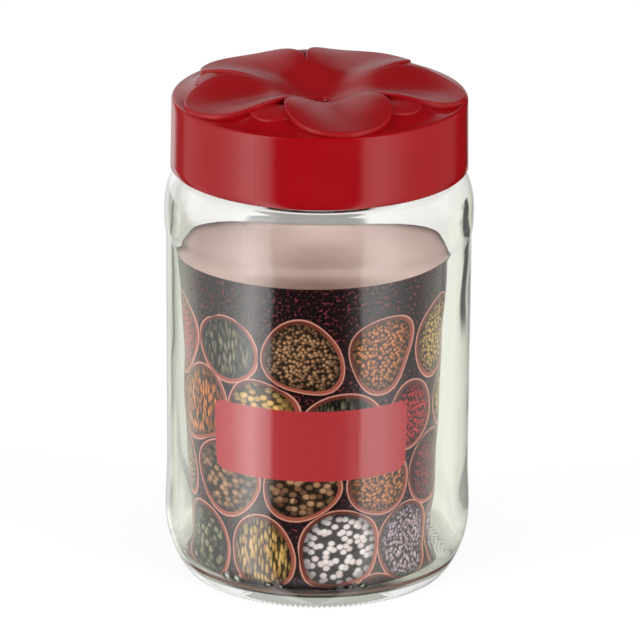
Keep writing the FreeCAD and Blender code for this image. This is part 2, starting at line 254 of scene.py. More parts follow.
inside += elliptic_arc((MOUTH_RADIUS, SHOULDER_START), inner_shoulder_radii, 90, 0, 12)
inside += straight_run((INNER_RADIUS, SHOULDER_START), (INNER_RADIUS, floor_corner_top), 38)
inside += elliptic_arc((FLOOR_CORNER_RADIUS, floor_corner_top), floor_corner_radii, 0, -90, 16)
inside += dome_run(BASE_RISE, FLOOR_THICKNESS, FLOOR_CORNER_RADIUS, 6)[::-1]
glass = spun_body(outside + inside, GLASS_COLUMNS)
print("glass section points", len(outside + inside), "heel bend", round(heel_bend, 4))

# %% [markdown]
# ## The glass: thread, knurl, dots and wavy wall
# Four short thread ribs stand on the neck. They could be swept bars joined with a boolean, but joined glass
# shows every seam, so the neck's own vertices are pushed out along each helix instead. The same way gives
# the fine knurl of the bearing ring, the mould-number dots low on the heel, and the uneven inner wall that
# pressing leaves. That unevenness is what bends the streaks along a real jar's edges.

# %% Thread ribs
THREAD_STARTS = 4
THREAD_LEAD = 0.018
THREAD_DEPTH = 0.0013
THREAD_FLANK_SHARE = 0.385
RIB_ROOT = 0.0011
RIB_SPAN = 70.0
RIB_TAPER = 5.0
RIB_DROP = 0.010
rib_height = glass_top - RIB_DROP


def degrees_round(vert):
    """The vertex's direction about the axis, from 0 to 360 degrees."""
    return math.degrees(math.atan2(vert.co.y, vert.co.x)) % 360


def helix_lift(angle, height, start_height, root, span, first_angle):
    """How far a thread bar stands out at that place, 0 off the bar and 1 on its crest."""
    turn = (angle - first_angle) % (360 / THREAD_STARTS)
    if turn > span:
        return 0.0
    middle = start_height + THREAD_LEAD * turn / 360
    flank = THREAD_FLANK_SHARE * THREAD_DEPTH
    crest = min(1.0, max(0.0, (root - abs(height - middle)) / flank))
    return crest * smooth_step(0, RIB_TAPER, turn) * smooth_step(span, span - RIB_TAPER, turn)


print("ribs start at", round(rib_height, 4))

# %% Mould dots and the uneven inner wall
FRONT_DEGREES = 270
DOT_HEIGHT = 0.0079
DOT_RADIUS = 0.0008
DOT_RISE = 0.0004
DOT_ANGLES = (-37.1, -32.6, -18.8, -14.0, 8.3, 13.0, 17.9)
WALL_WAVES = ((3, 0.031, 0.4, 0.00006), (5, 0.019, 2.2, 0.00003), (4, 0.047, 1.1, 0.00005))
WAVE_FADE_BELOW = 0.008
WAVE_FADE_ABOVE = 0.01
WAVE_FADE_TOP = 0.006


def turn_from_front(angle):
    """Degrees round from the front of the jar, from -180 to 180."""
    return (angle - FRONT_DEGREES + 180) % 360 - 180


def dot_lift(angle, height):
    """The swell of the nearest mould dot."""
    turn = turn_from_front(angle)
    nearest = min(DOT_ANGLES, key=lambda dot: abs(dot - turn))
    sideways = math.radians(turn - nearest) * JAR_RADIUS
    away = math.hypot(sideways, height - DOT_HEIGHT) / DOT_RADIUS
    return DOT_RISE * math.sqrt(max(0.0, 1 - away * away))


def wall_wave(angle, height):
    """The uneven thickness of the inner wall, fading out at the floor and the shoulder."""
    wave = 0.0
    for turns, length, phase, size in WALL_WAVES:
        sideways = math.sin(turns * math.radians(angle) + phase)
        wave += size * sideways * math.sin(math.tau * height / length + phase)
    ends = smooth_step(floor_corner_top - WAVE_FADE_BELOW, floor_corner_top + WAVE_FADE_ABOVE, height)
    return wave * ends * smooth_step(SHOULDER_TOP, SHOULDER_START - WAVE_FADE_TOP, height)


print("dots", len(DOT_ANGLES), "waves in the wall", len(WALL_WAVES))

# %% Press the details into the glass
KNURL_TEETH = 160
KNURL_DEPTH = 0.0004
KNURL_TOP = 0.0012
HEEL_SLACK = 0.003
middle_of_wall = (INNER_RADIUS + PANEL_RADIUS) / 2
for vert in glass.verts:
    radius = math.hypot(vert.co.x, vert.co.y)
    angle = degrees_round(vert)
    height = vert.co.z
    if height > SHOULDER_TOP + WELD and radius > NECK_RADIUS - WELD:
        lift = helix_lift(angle, height, rib_height, RIB_ROOT, RIB_SPAN, 0)
        set_radius(vert, radius + THREAD_DEPTH * lift)
    elif height < KNURL_TOP and radius > BEARING_INNER_RADIUS + WELD:
        tooth = 0.5 + 0.5 * math.cos(math.radians(angle) * KNURL_TEETH)
        vert.co.z += KNURL_DEPTH * tooth * (1 - height / KNURL_TOP)
    elif height < HEEL_HEIGHT and radius > max(BEARING_RADIUS + WELD, middle_of_wall - HEEL_SLACK):
        set_radius(vert, radius + dot_lift(angle, height))
    elif FLOOR_THICKNESS < height < SHOULDER_TOP and radius < middle_of_wall:
        set_radius(vert, radius + wall_wave(angle, height))
print("ribs", THREAD_STARTS, "knurl teeth", KNURL_TEETH)

# %% [markdown]
# ## The glass: finish
# Soda-lime glass is almost colourless, with a faint green-grey in its thick edges. The Principled shader's
# transmission bends light by the index of refraction. Lamps would not reach the print through it, because
# Cycles treats refraction as solid for shadow rays, so shadow rays see a plain transparent surface instead.
# A very slight, wide bump stands for the skin that fire-polishing leaves. Light that is trapped in the wall
# is given up after a few reflections and would leave black spots, so such rays go straight on to the world
# instead, which shows them a pale grey-green.

# %% Clear glass
GLASS_TINT = (0.985, 0.985, 0.968, 1)
SHADOW_TINT = (0.99, 0.99, 0.985, 1)
GLASS_INDEX = 1.5
SKIN_SCALE = 45.0
SKIN_STRENGTH = 0.06
SKIN_DEPTH = 0.001
TRAPPED_DEPTH = 3


def mix_shaders(tree, share, first, second):
    """A mix of two shaders."""
    return add_node(tree, "ShaderNodeMixShader", {0: share, 1: first, 2: second}).outputs[0]


def is_trapped(tree, path):
    """1 for a ray that has been reflected so often that it is given up, and 0 for the others."""
    return calc(tree, "GREATER_THAN", path.outputs["Glossy Depth"], TRAPPED_DEPTH - 0.5)


def clear_glass():
    """Glass that bends what is seen through it, and lets lamps and trapped rays pass unbent."""
    material, tree, shader = new_material("clear_glass")
    shader.inputs["Base Color"].default_value = GLASS_TINT
    shader.inputs["Transmission Weight"].default_value = 1.0
    shader.inputs["Roughness"].default_value = 0.0
    shader.inputs["IOR"].default_value = GLASS_INDEX
    place = add_node(tree, "ShaderNodeTexCoord").outputs["Object"]
    skin = add_node(tree, "ShaderNodeTexNoise", {"Vector": place, "Scale": SKIN_SCALE, "Detail": 1.0})
    bump_values = {"Height": skin.outputs["Fac"], "Strength": SKIN_STRENGTH, "Distance": SKIN_DEPTH}
    bump = add_node(tree, "ShaderNodeBump", bump_values)
    tree.links.new(bump.outputs["Normal"], shader.inputs["Normal"])
    path = add_node(tree, "ShaderNodeLightPath")
    straight_on = calc(tree, "MAXIMUM", path.outputs["Is Shadow Ray"], is_trapped(tree, path))
    open_way = add_node(tree, "ShaderNodeBsdfTransparent", {"Color": SHADOW_TINT})
    surface = mix_shaders(tree, straight_on, shader.outputs[0], open_way.outputs[0])
    tree.links.new(surface, tree.nodes["Material Output"].inputs["Surface"])
    return material


make_piece("jar_body", glass, [clear_glass()], "jar", "jar_glass")

# %% [markdown]
# ## The lid: plate and skirt
# The lid is one moulding. Its shell is spun like the glass: sunken middle, plate, round edge, skirt with a
# little draft, and inside it the plug rib that centres the seal. Between the petals the plate isn't flat: it
# swells up towards them, so that each petal stands only a little proud of what lies beside it. That swell is
# pressed into the plate's vertices with the five-fold formula that the flower uses too.

# %% Lid sizes and the swell between petals
LID_RADIUS = 0.04185
LID_BOTTOM_RADIUS = 0.0422
LID_TOP = 0.1407
LID_EDGE_ROUND = 0.001
SKIRT_INNER_RADIUS = 0.0404
PLATE_BOTTOM = 0.1385
PLUG_RADIUS = 0.0355
PLUG_INNER_RADIUS = 0.034
PLUG_BOTTOM = 0.1345
BOWL_RADIUS = 0.011
BOWL_DEPTH = 0.002
BOWL_WALL = 0.0018
LID_COLUMNS = 360
PETAL_COUNT = 5
PETAL_PITCH = 360 / PETAL_COUNT
FRONT_PETAL_ANGLE = -79.0
SWELL_HEIGHT = 0.0037
SWELL_RISE_SHARES = (0.36, 0.66)
SWELL_FALL_SHARES = (0.99, 0.70)
SWELL_TURNS = (6, 30)


def leaf_turn(angle):
    """Degrees from the middle of the nearest petal."""
    return (angle - FRONT_PETAL_ANGLE + PETAL_PITCH / 2) % PETAL_PITCH - PETAL_PITCH / 2


def plate_swell(radius, turn):
    """How far the plate rises between the petals, turn degrees from a petal's middle."""
    share = radius / LID_RADIUS
    along = smooth_step(*SWELL_RISE_SHARES, share) * smooth_step(*SWELL_FALL_SHARES, share)
    return SWELL_HEIGHT * along * smooth_step(*SWELL_TURNS, abs(turn))


# %% Spin the shell
LIP_ROUND = 0.0003
PLUG_ROUND = 0.0004
EYE_RIDGES = (
    (0, 0.0006), (0.0004, 0.0005), (0.0007, 0), (0.0014, 0), (0.0017, 0.0004), (0.0021, 0.0004), (0.0024, 0),
)
edge_centre = (LID_RADIUS - LID_EDGE_ROUND, LID_TOP - LID_EDGE_ROUND)
bowl_floor = LID_TOP - BOWL_DEPTH
skirt_foot = lid_bottom + LIP_ROUND
lip_outer = LID_BOTTOM_RADIUS - LIP_ROUND
lip_inner = SKIRT_INNER_RADIUS + LIP_ROUND
plug_foot = PLUG_BOTTOM + PLUG_ROUND
plug_outer = PLUG_RADIUS - PLUG_ROUND
plug_inner = PLUG_INNER_RADIUS + PLUG_ROUND

lid_section = [(radius, bowl_floor + rise) for radius, rise in EYE_RIDGES]
lid_section += dome_run(-BOWL_DEPTH, LID_TOP, BOWL_RADIUS, 8)[3:]
lid_section += straight_run((BOWL_RADIUS, LID_TOP), (edge_centre[0], LID_TOP), 40)
lid_section += elliptic_arc(edge_centre, (LID_EDGE_ROUND, LID_EDGE_ROUND), 90, 0, 6)
lid_section += straight_run((LID_RADIUS, edge_centre[1]), (LID_BOTTOM_RADIUS, skirt_foot), 10)
lid_section += straight_run((lip_outer, lid_bottom), (lip_inner, lid_bottom), 2)
lid_section += straight_run((SKIRT_INNER_RADIUS, skirt_foot), (SKIRT_INNER_RADIUS, PLATE_BOTTOM), 44)
lid_section += straight_run((PLUG_RADIUS, PLATE_BOTTOM), (PLUG_RADIUS, plug_foot), 3)
lid_section += straight_run((plug_outer, PLUG_BOTTOM), (plug_inner, PLUG_BOTTOM), 2)
lid_section += straight_run((PLUG_INNER_RADIUS, plug_foot), (PLUG_INNER_RADIUS, PLATE_BOTTOM), 3)
lid_section += dome_run(-BOWL_DEPTH, PLATE_BOTTOM, BOWL_RADIUS + BOWL_WALL, 8)[::-1]
shell = spun_body(lid_section, LID_COLUMNS)
print("lid section points", len(lid_section))

# %% Press swell, lugs and mould lines into the shell
LUG_ROOT = 0.001
LUG_SPAN = 16.0
LUG_LEAD_IN = 10.0
LUG_DROP = 0.00116
MOULD_LINES = (-25.9, 49.8, 139.0)
MOULD_LINE_RISE = 0.00006
lug_height = rib_height - LUG_DROP
half_column = 180 / LID_COLUMNS
for vert in shell.verts:
    radius = math.hypot(vert.co.x, vert.co.y)
    angle = degrees_round(vert)
    if abs(vert.co.z - LID_TOP) < WELD and radius > BOWL_RADIUS:
        vert.co.z += plate_swell(radius, leaf_turn(angle))
    elif abs(radius - SKIRT_INNER_RADIUS) < WELD:
        lift = helix_lift(angle, vert.co.z, lug_height, LUG_ROOT, LUG_SPAN, LUG_LEAD_IN)
        set_radius(vert, radius - THREAD_DEPTH * lift)
    elif radius > LID_RADIUS - WELD:
        if min(abs(turn_from_front(angle) - line) for line in MOULD_LINES) < half_column:
            set_radius(vert, radius + MOULD_LINE_RISE)
print("lugs", THREAD_STARTS, "mould lines", len(MOULD_LINES))

# %% [markdown]
# ## The lid: petals and sepals
# Five broad petals run together into a funnel, and a smaller, lower leaf fills each gap. A petal could be
# sculpted from a subdivided plane. Here a flat grid is bent into one petal by formula: one way of the grid
# runs from the funnel's eye to the rim, the other way follows the rim round. The height falls into the
# funnel, crests, and lifts towards the petal's sides. The last rows turn the rim over in a small round and
# drop down the wall. Four turned copies finish the flower.

# %% Shape of a petal
PETAL_TIP = 0.985 * LID_RADIUS
PETAL_RADIUS = 0.355 * LID_RADIUS
PETAL_CENTRE = PETAL_TIP - PETAL_RADIUS
CREST_RADIUS = 0.42 * LID_RADIUS
LIFT_START = 0.2 * LID_RADIUS
LIFT_SKEW = 1.25
CREST_HEIGHT = 0.0023
TIP_HEIGHT = 0.0014
SIDE_LIFT = 0.0035
FUNNEL_DEPTH = 0.0021
EYE_RADIUS = 0.0029
EDGE_ROUND = 0.0005
FOOT_SINK = 0.0008


def petal_height(radius, turn):
    """Height of a petal's top above the plate, turn radians from the petal's middle."""
    if radius < CREST_RADIUS:
        rise = (1 - math.cos(math.pi * radius / CREST_RADIUS)) / 2
        middle = (CREST_HEIGHT + FUNNEL_DEPTH) * rise - FUNNEL_DEPTH
    else:
        fall = 1 - math.cos(math.pi / 2 * (radius - CREST_RADIUS) / (PETAL_TIP - CREST_RADIUS))
        middle = CREST_HEIGHT - (CREST_HEIGHT - TIP_HEIGHT) * fall
    share = min(1.0, max(0.0, (radius - LIFT_START) / (PETAL_TIP - LIFT_START)))
    lift = SIDE_LIFT * math.sin(math.pi * share ** LIFT_SKEW)
    return middle + lift * math.sin(turn * PETAL_COUNT / 2) ** 2


half_pitch = math.radians(PETAL_PITCH / 2)
petal_back = math.sqrt(PETAL_CENTRE ** 2 - (PETAL_RADIUS / math.tan(half_pitch)) ** 2)
notch_angle = math.acos(-petal_back / PETAL_CENTRE)


def petal_rim(angle):
    """A point of the petal's outline: a half circle outwards, and an ellipse back to the notches."""
    length = PETAL_RADIUS if abs(angle) < math.pi / 2 else petal_back
    return Vector((PETAL_CENTRE + length * math.cos(angle), PETAL_RADIUS * math.sin(angle)))


notch = petal_rim(notch_angle)


def round_drop(x, y):
    """How far the rim's round takes the surface down at that place of a petal."""
    length = PETAL_RADIUS if x > PETAL_CENTRE else petal_back
    along = (x - PETAL_CENTRE) / length
    across = y / PETAL_RADIUS
    share = max(WELD, math.hypot(along, across))
    if abs(math.atan2(across, along)) < notch_angle:
        inset = math.hypot(x - PETAL_CENTRE, y) * (1 / share - 1)
    else:
        inset = math.hypot(x - notch.x, abs(y) - notch.y)
    rest = max(0.0, EDGE_ROUND - max(0.0, inset))
    return EDGE_ROUND - math.sqrt(EDGE_ROUND ** 2 - rest ** 2)


# %% Bend a grid into a petal and turn copies of it
PETAL_ROWS = [step / 24 * 0.94 for step in range(25)] + [0.955, 0.967, 0.976, 0.983, 0.989, 0.994, 0.998, 1.0]
PETAL_COLUMNS = 72
last_row = len(PETAL_ROWS) + 1


def petal_place(row, turn):
    """Where a grid point of the petal goes; the first and last rows are the feet of its walls."""
    along = PETAL_ROWS[min(max(row - 1, 0), len(PETAL_ROWS) - 1)]
    eye_angle = turn * half_pitch
    eye = Vector((EYE_RADIUS * math.cos(eye_angle), EYE_RADIUS * math.sin(eye_angle)))
    plan = eye.lerp(petal_rim(turn * notch_angle), along)
    aside = math.atan2(plan.y, plan.x)
    if row == 0:
        height = -BOWL_DEPTH - FOOT_SINK
    elif row == last_row:
        height = plate_swell(plan.length, math.degrees(aside)) - FOOT_SINK
    else:
        height = petal_height(plan.length, aside) - round_drop(plan.x, plan.y)
    return Vector((plan.x, plan.y, LID_TOP + height))


def turned_copies(bm):
    """Repeats what the bmesh holds at every petal's turn."""
    first = bm.verts[:] + bm.edges[:] + bm.faces[:]
    for number in range(1, PETAL_COUNT):
        copy = bmesh.ops.duplicate(bm, geom=first)["geom"]
        corners = [item for item in copy if isinstance(item, bmesh.types.BMVert)]
        turn = Matrix.Rotation(math.radians(PETAL_PITCH * number), 3, "Z")
        bmesh.ops.rotate(bm, verts=corners, cent=(0, 0, 0), matrix=turn)


petals = bmesh.new()
bmesh.ops.create_grid(petals, x_segments=last_row, y_segments=PETAL_COLUMNS, size=0.5)
front_turn = Matrix.Rotation(math.radians(FRONT_PETAL_ANGLE), 3, "Z")
for vert in petals.verts:
    row = round((vert.co.x + 0.5) * last_row)
    vert.co = front_turn @ petal_place(row, 2 * vert.co.y)
turned_copies(petals)
bmesh.ops.remove_doubles(petals, verts=petals.verts, dist=WELD)
rims = [edge for edge in petals.edges if edge.is_boundary]
bmesh.ops.bridge_loops(petals, edges=rims)
bmesh.ops.recalc_face_normals(petals, faces=petals.faces)
print("notch at", round(notch.length / LID_RADIUS, 3), "of the lid's radius")

# %% Sepals in the gaps
SEPAL_CENTRE = 0.65 * LID_RADIUS
SEPAL_RADIUS = 0.2 * LID_RADIUS
SEPAL_THICKNESS = 0.0006
SEPAL_ROUND = 0.0003
SEPAL_ROWS = (0, 0.2, 0.4, 0.6, 0.75, 0.87, 0.95, 0.975, 0.99, 1.0)
SEPAL_COLUMNS = 60

sepals = bmesh.new()
spoke = [sepals.verts.new((SEPAL_CENTRE + SEPAL_RADIUS * share, 0, 0)) for share in SEPAL_ROWS]
spoke.append(sepals.verts.new((SEPAL_CENTRE + SEPAL_RADIUS, 0, -SEPAL_THICKNESS - FOOT_SINK)))
for first, second in zip(spoke, spoke[1:]):
    sepals.edges.new((first, second))
bmesh.ops.spin(
    sepals, geom=sepals.verts[:] + sepals.edges[:], cent=(SEPAL_CENTRE, 0, 0), axis=(0, 0, 1),
    angle=math.tau, steps=SEPAL_COLUMNS, use_merge=True,
)
bmesh.ops.remove_doubles(sepals, verts=sepals.verts, dist=WELD)
gap_turn = Matrix.Rotation(math.radians(FRONT_PETAL_ANGLE + PETAL_PITCH / 2), 3, "Z")
for vert in sepals.verts:
    inset = SEPAL_RADIUS - math.hypot(vert.co.x - SEPAL_CENTRE, vert.co.y)
    rest = max(0.0, SEPAL_ROUND - max(0.0, inset))
    from_gap = math.degrees(math.atan2(vert.co.y, vert.co.x))
    swell = plate_swell(math.hypot(vert.co.x, vert.co.y), PETAL_PITCH / 2 - abs(from_gap))
    vert.co.z += LID_TOP + swell + SEPAL_THICKNESS - SEPAL_ROUND + math.sqrt(SEPAL_ROUND ** 2 - rest ** 2)
    vert.co = gap_turn @ vert.co
turned_copies(sepals)
bmesh.ops.holes_fill(sepals, edges=[edge for edge in sepals.edges if edge.is_boundary])
bmesh.ops.recalc_face_normals(sepals, faces=sepals.faces)
print("sepals", PETAL_COUNT, "faces", len(sepals.faces))

# %% [markdown]
# ## The lid: finish
# The skirt comes from a polished mould and is glossy, while the flower's steel was textured, so its petals
# are satin. Both are the same red plastic. One function makes the two finishes: a slight drift in colour
# from the flow of the melt, and a bump that is wide and faint on the skirt but fine and grainy on the
# petals.

# %% Red plastic
PLASTIC_RED = (0.355, 0.0014, 0.0054, 1)
PLASTIC_DEEP = (0.325, 0.0011, 0.0046, 1)
PLASTIC_INDEX = 1.5
FLOW_SCALE = 30.0
FLOW_LIMITS = (0.35, 0.65)
GRAIN_LIMITS = (0.3, 0.7)
ROUGHNESS_SPREAD = 0.1
BUMP_DEPTH = 0.0004


def red_plastic(name, roughness, grain, bump_strength):
    """The lid's red, with the roughness and the size of surface grain that its mould gave it."""
    material, tree, shader = new_material(name)
    shader.inputs["IOR"].default_value = PLASTIC_INDEX
    place = add_node(tree, "ShaderNodeTexCoord").outputs["Object"]
    flow = add_node(tree, "ShaderNodeTexNoise", {"Vector": place, "Scale": FLOW_SCALE, "Detail": 3.0})
    shade = ramp_between(tree, flow.outputs["Fac"], *FLOW_LIMITS)
    tree.links.new(blend(tree, shade, PLASTIC_DEEP, PLASTIC_RED), shader.inputs["Base Color"])
    surface = add_node(tree, "ShaderNodeTexNoise", {"Vector": place, "Scale": grain, "Detail": 2.0})
    smoothest = roughness * (1 - ROUGHNESS_SPREAD)
    roughest = roughness * (1 + ROUGHNESS_SPREAD)
    rough = ramp_between(tree, surface.outputs["Fac"], *GRAIN_LIMITS, smoothest, roughest)
    tree.links.new(rough, shader.inputs["Roughness"])
    bump_values = {"Height": surface.outputs["Fac"], "Strength": bump_strength, "Distance": BUMP_DEPTH}
    bump = add_node(tree, "ShaderNodeBump", bump_values)
    tree.links.new(bump.outputs["Normal"], shader.inputs["Normal"])
    return material


gloss_red = red_plastic("gloss_red_plastic", roughness=0.16, grain=60.0, bump_strength=0.05)
satin_red = red_plastic("satin_red_plastic", roughness=0.36, grain=2600.0, bump_strength=0.06)
make_piece("lid_shell", shell, [gloss_red], "lid", "lid_cap")
make_piece("lid_petals", petals, [satin_red], "lid", "lid_cap")
make_piece("lid_sepals", sepals, [satin_red], "lid", "lid_cap")

# %% [markdown]
# ## The ring seal
# A soft washer lies under the plate and closes on the glass rim. It shows only when the lid is raised. A
# plain ring would look like card, so its section has round corners and two low ribs where it presses on the
# glass.

# %% Seal ring
SEAL_INNER_RADIUS = 0.0358
SEAL_OUTER_RADIUS = 0.0401
SEAL_CORNER = 0.0004
SEAL_RIB_DEPTH = 0.0002
SEAL_RIB_TURNS = 2
SEAL_COLUMNS = 240


def seal_section():
    """The washer's closed section, from its inner upper corner round to the same place."""
    corner = (SEAL_CORNER, SEAL_CORNER)
    low = seal_bottom + SEAL_CORNER
    high = seal_top - SEAL_CORNER
    near = SEAL_INNER_RADIUS + SEAL_CORNER
    far = SEAL_OUTER_RADIUS - SEAL_CORNER
    points = elliptic_arc((near, high), corner, 180, 90, 4) + elliptic_arc((far, high), corner, 90, 0, 4)
    points += elliptic_arc((far, low), corner, 0, -90, 4)
    for radius, height in straight_run((far, seal_bottom), (near, seal_bottom), 24):
        wave = math.cos(math.tau * SEAL_RIB_TURNS * (radius - near) / (far - near))
        points.append((radius, height + SEAL_RIB_DEPTH * (0.5 + 0.5 * wave)))
    points += elliptic_arc((near, low), corner, -90, -180, 4)
    return points + points[:1]


washer = spun_body(seal_section(), SEAL_COLUMNS)
print("washer vertices", len(washer.verts))

# %% Soft white rubber
SEAL_DULL = (0.80, 0.79, 0.74, 1)
SEAL_PALE = (0.87, 0.86, 0.82, 1)
DUST_SCALE = 220.0
DUST_LIMITS = (0.2, 0.8)
SEAL_ROUGHNESS = (0.5, 0.65)


def soft_seal():
    """Matte off-white rubber with a faint bloom of dust."""
    material, tree, shader = new_material("soft_seal")
    place = add_node(tree, "ShaderNodeTexCoord").outputs["Object"]
    dust = add_node(tree, "ShaderNodeTexNoise", {"Vector": place, "Scale": DUST_SCALE, "Detail": 3.0})
    tone = blend(tree, dust.outputs["Fac"], SEAL_DULL, SEAL_PALE)
    tree.links.new(tone, shader.inputs["Base Color"])
    rough = ramp_between(tree, dust.outputs["Fac"], *DUST_LIMITS, *SEAL_ROUGHNESS)
    tree.links.new(rough, shader.inputs["Roughness"])
    return material


make_piece("seal_ring", washer, [soft_seal()], "seal", "lid_seal")

# %% [markdown]
# ## The printed sheet: shape
# A sheet of stiff paper is rolled a little past one turn and stands in the jar, wider at the top. A spun
# cone would have no seam. Here a flat grid is bent into a cone whose radius grows by a little more than
# the paper's thickness per turn, so that its ends overlap without touching. The grid's own UV map then
# lies flat on the paper, which is what a print needs.

# %% Rolled sheet
SHEET_TOP_RADIUS = 0.0384
SHEET_BOTTOM_RADIUS = 0.035
SHEET_SHIFT = 0.0017
SHEET_THICKNESS = 0.00025
SHEET_WRAP = 0.00035
SHEET_TURN = 376.0
SHEET_SEAM_ANGLE = 122.0
SHEET_COLUMNS = 288
SHEET_ROWS = 24
sheet_height = sheet_top - sheet_bottom
sheet_width = math.radians(SHEET_TURN) * (SHEET_TOP_RADIUS + SHEET_BOTTOM_RADIUS) / 2

sheet = bmesh.new()
sheet.loops.layers.uv.new("print_map")
bmesh.ops.create_grid(sheet, x_segments=SHEET_COLUMNS, y_segments=SHEET_ROWS, size=0.5, calc_uvs=True)
for vert in sheet.verts:
    across = vert.co.x + 0.5
    up = vert.co.y + 0.5
    outer = SHEET_BOTTOM_RADIUS + (SHEET_TOP_RADIUS - SHEET_BOTTOM_RADIUS) * up
    radius = outer - SHEET_WRAP * SHEET_TURN / 360 * (1 - across)
    place = math.radians(SHEET_SEAM_ANGLE + SHEET_TURN * across)
    height = sheet_bottom + sheet_height * up
    vert.co = (radius * math.cos(place) - SHEET_SHIFT, radius * math.sin(place), height)
bmesh.ops.solidify(sheet, geom=sheet.faces[:], thickness=SHEET_THICKNESS)
bmesh.ops.recalc_face_normals(sheet, faces=sheet.faces)
for face in sheet.faces:
    middle = face.calc_center_median()
    face.material_index = 0 if face.normal.x * middle.x + face.normal.y * middle.y > 0 else 1
print("sheet flat size", round(sheet_width, 4), "by", round(sheet_height, 4))

# %% [markdown]
# ## The printed sheet: colours and grains
# The print is a generic design: round clay dishes of spices on a dark ground, under a plain red label field.
# With no image to read, every point of the paper works out its own colour from the UV map, which is first
# turned into millimetres. Spices come first. Voronoi cells, shaded by the distance from their middle, look
# like grains when they are small, like seeds when they are larger, and like husks when they are stretched.

# %% Colours of the print
LABEL_RED = (0.57, 0.044, 0.054, 1)
GROUND = (0.010, 0.003, 0.004, 1)
CRUMBS = (0.34, 0.06, 0.08, 1)
CLAY_DARK = (0.10, 0.020, 0.014, 1)
CLAY_WALL = (0.44, 0.11, 0.07, 1)
CLAY_LIP = (0.78, 0.36, 0.27, 1)
SPICES = (
    (0.92, 0.86, 0.85, 1), (0.24, 0.22, 0.14, 1), (0.52, 0.10, 0.05, 1), (0.72, 0.46, 0.14, 1),
    (0.62, 0.48, 0.54, 1), (0.32, 0.03, 0.045, 1), (0.64, 0.045, 0.05, 1), (0.52, 0.29, 0.15, 1),
    (0.70, 0.25, 0.06, 1),
)
HUSKS = (
    (0.74, 0.62, 0.62, 1), (0.02, 0.02, 0.012, 1), (0.19, 0.026, 0.016, 1), (0.26, 0.13, 0.03, 1),
    (0.16, 0.10, 0.115, 1), (0.06, 0.008, 0.013, 1), (0.24, 0.014, 0.02, 1), (0.11, 0.048, 0.025, 1),
    (0.24, 0.07, 0.018, 1),
)


def palette(tree, pick, colours):
    """A colour picked in equal steps by a value from 0 to 1."""
    node = add_node(tree, "ShaderNodeValToRGB", {0: pick})
    node.color_ramp.interpolation = "CONSTANT"
    stops = node.color_ramp.elements
    while len(stops) < len(colours):
        stops.new(0.5)
    for number, colour in enumerate(colours):
        stops[number].position = number / len(colours)
        stops[number].color = colour
    return node.outputs["Color"]


print("spices in the palette", len(SPICES))

# %% Grains, seeds and husks
GRAIN_TURN = 0.6
GRAIN_EDGE = (0.26, 0.56)
GRAIN_SHADES = (1.3, 0.12)
FINE_GRAIN = (0.95, (1, 1, 1))
SEED_GRAIN = (0.42, (1, 1.25, 1))
HUSK_GRAIN = (0.75, (1.5, 0.42, 1))
SEEDS_FROM = 0.45
HUSKS_FROM = 0.72


def grain_layer(tree, place, scale, stretch):
    """Shade and random tone of one kind of grain; stretch squeezes the cells into husks."""
    turned = {"Vector": place, "Scale": stretch, "Rotation": (0, 0, GRAIN_TURN)}
    mapping = add_node(tree, "ShaderNodeMapping", turned)
    values = {"Vector": mapping.outputs[0], "Scale": scale}
    grain = add_node(tree, "ShaderNodeTexVoronoi", values, voronoi_dimensions="2D")
    shade = ramp_between(tree, grain.outputs["Distance"], *GRAIN_EDGE, *GRAIN_SHADES)
    tone = add_node(tree, "ShaderNodeSeparateColor", {0: grain.outputs["Color"]}).outputs[0]
    return shade, tone


def spice_fill(tree, place, pick):
    """A dish's filling: its random values pick the spice and the kind of grain."""
    fine_shade, fine_tone = grain_layer(tree, place, *FINE_GRAIN)
    seed_shade, seed_tone = grain_layer(tree, place, *SEED_GRAIN)
    husk_shade, husk_tone = grain_layer(tree, place, *HUSK_GRAIN)
    is_seed = calc(tree, "GREATER_THAN", pick.outputs[1], SEEDS_FROM)
    is_husk = calc(tree, "GREATER_THAN", pick.outputs[1], HUSKS_FROM)
    shade = blend(tree, is_husk, blend(tree, is_seed, fine_shade, seed_shade), husk_shade)
    tone = blend(tree, is_husk, blend(tree, is_seed, fine_tone, seed_tone), husk_tone)
    dark = palette(tree, pick.outputs[0], HUSKS)
    light = palette(tree, pick.outputs[0], SPICES)
    return blend(tree, 1.0, blend(tree, tone, dark, light), shade, "MULTIPLY")


print("kinds of grain", len((FINE_GRAIN, SEED_GRAIN, HUSK_GRAIN)))

# %% [markdown]
# ## The printed sheet: dishes and label field
# Dishes that are packed as closely as they go stand in rows, with every other row moved by half a step.
# Two plain grids, one shifted, are enough for that: each point takes the nearer of two cell middles. A
# slow noise bends the rows first, which makes the dishes uneven as hand-made ones are, and random values
# of each cell pick its size and its spice. Dishes near the sheet's upper edge are left out, so that a dark
# margin with crumbs stays there. The label field is a rounded box: the distance to a smaller box,
# compared with the corner's radius.

# %% Dishes in staggered rows
DISH_PITCH_MM = 23.0
DISH_WARP_MM = 9.0
WARP_SCALE = 0.04
DISH_RADIUS_SHARE = 0.52
SMALLEST_DISH_SHARE = 0.9
DISH_DROP_MM = 9.0
DISH_TOP_MM = 80.0
LIT_SIDE = (-0.05, 0.06, 0)


def bent_rows(tree, place):
    """The place on the paper, shifted by a slow drift that makes rows and dishes uneven."""
    drift = add_node(tree, "ShaderNodeTexNoise", {"Vector": place, "Scale": WARP_SCALE, "Detail": 0.0})
    warp = vector_calc(tree, "SUBTRACT", drift.outputs["Color"], (0.5, 0.5, 0.5))
    warp = vector_calc(tree, "MULTIPLY", warp, (DISH_WARP_MM, DISH_WARP_MM, 0))
    return vector_calc(tree, "ADD", place, vector_calc(tree, "ADD", warp, (0, DISH_DROP_MM, 0)))


